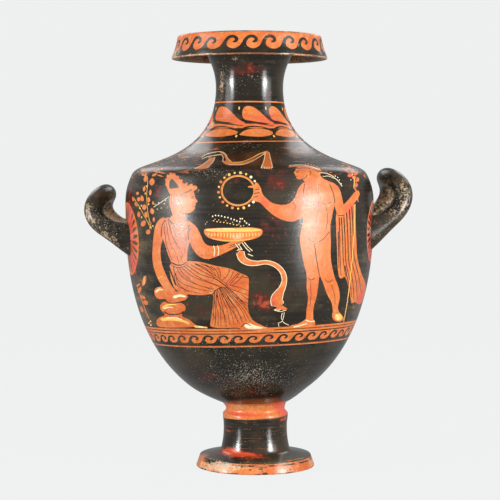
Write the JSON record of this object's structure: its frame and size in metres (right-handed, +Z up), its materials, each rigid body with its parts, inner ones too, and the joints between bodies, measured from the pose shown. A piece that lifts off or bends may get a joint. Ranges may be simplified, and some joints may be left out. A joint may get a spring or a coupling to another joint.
{
  "type": "hydria",
  "caption": "Hollow ceramic water jar on a stemmed foot, with two upturned side handles and an upright handle behind the neck.",
  "frame": {"origin": "bottom centre of the jar's box, on the surface that it stands on, under the body's axis", "axes": "+Z up along the body's axis, -Y towards the painted front, +X to the viewer's right"},
  "size_m": [0.333, 0.254, 0.4411],
  "materials": {
    "fired_clay": "semi-gloss black slip over orange fired clay"
  },
  "bodies": {
    "root": {"hydria": "fired_clay"}
  },
  "joints": []
}
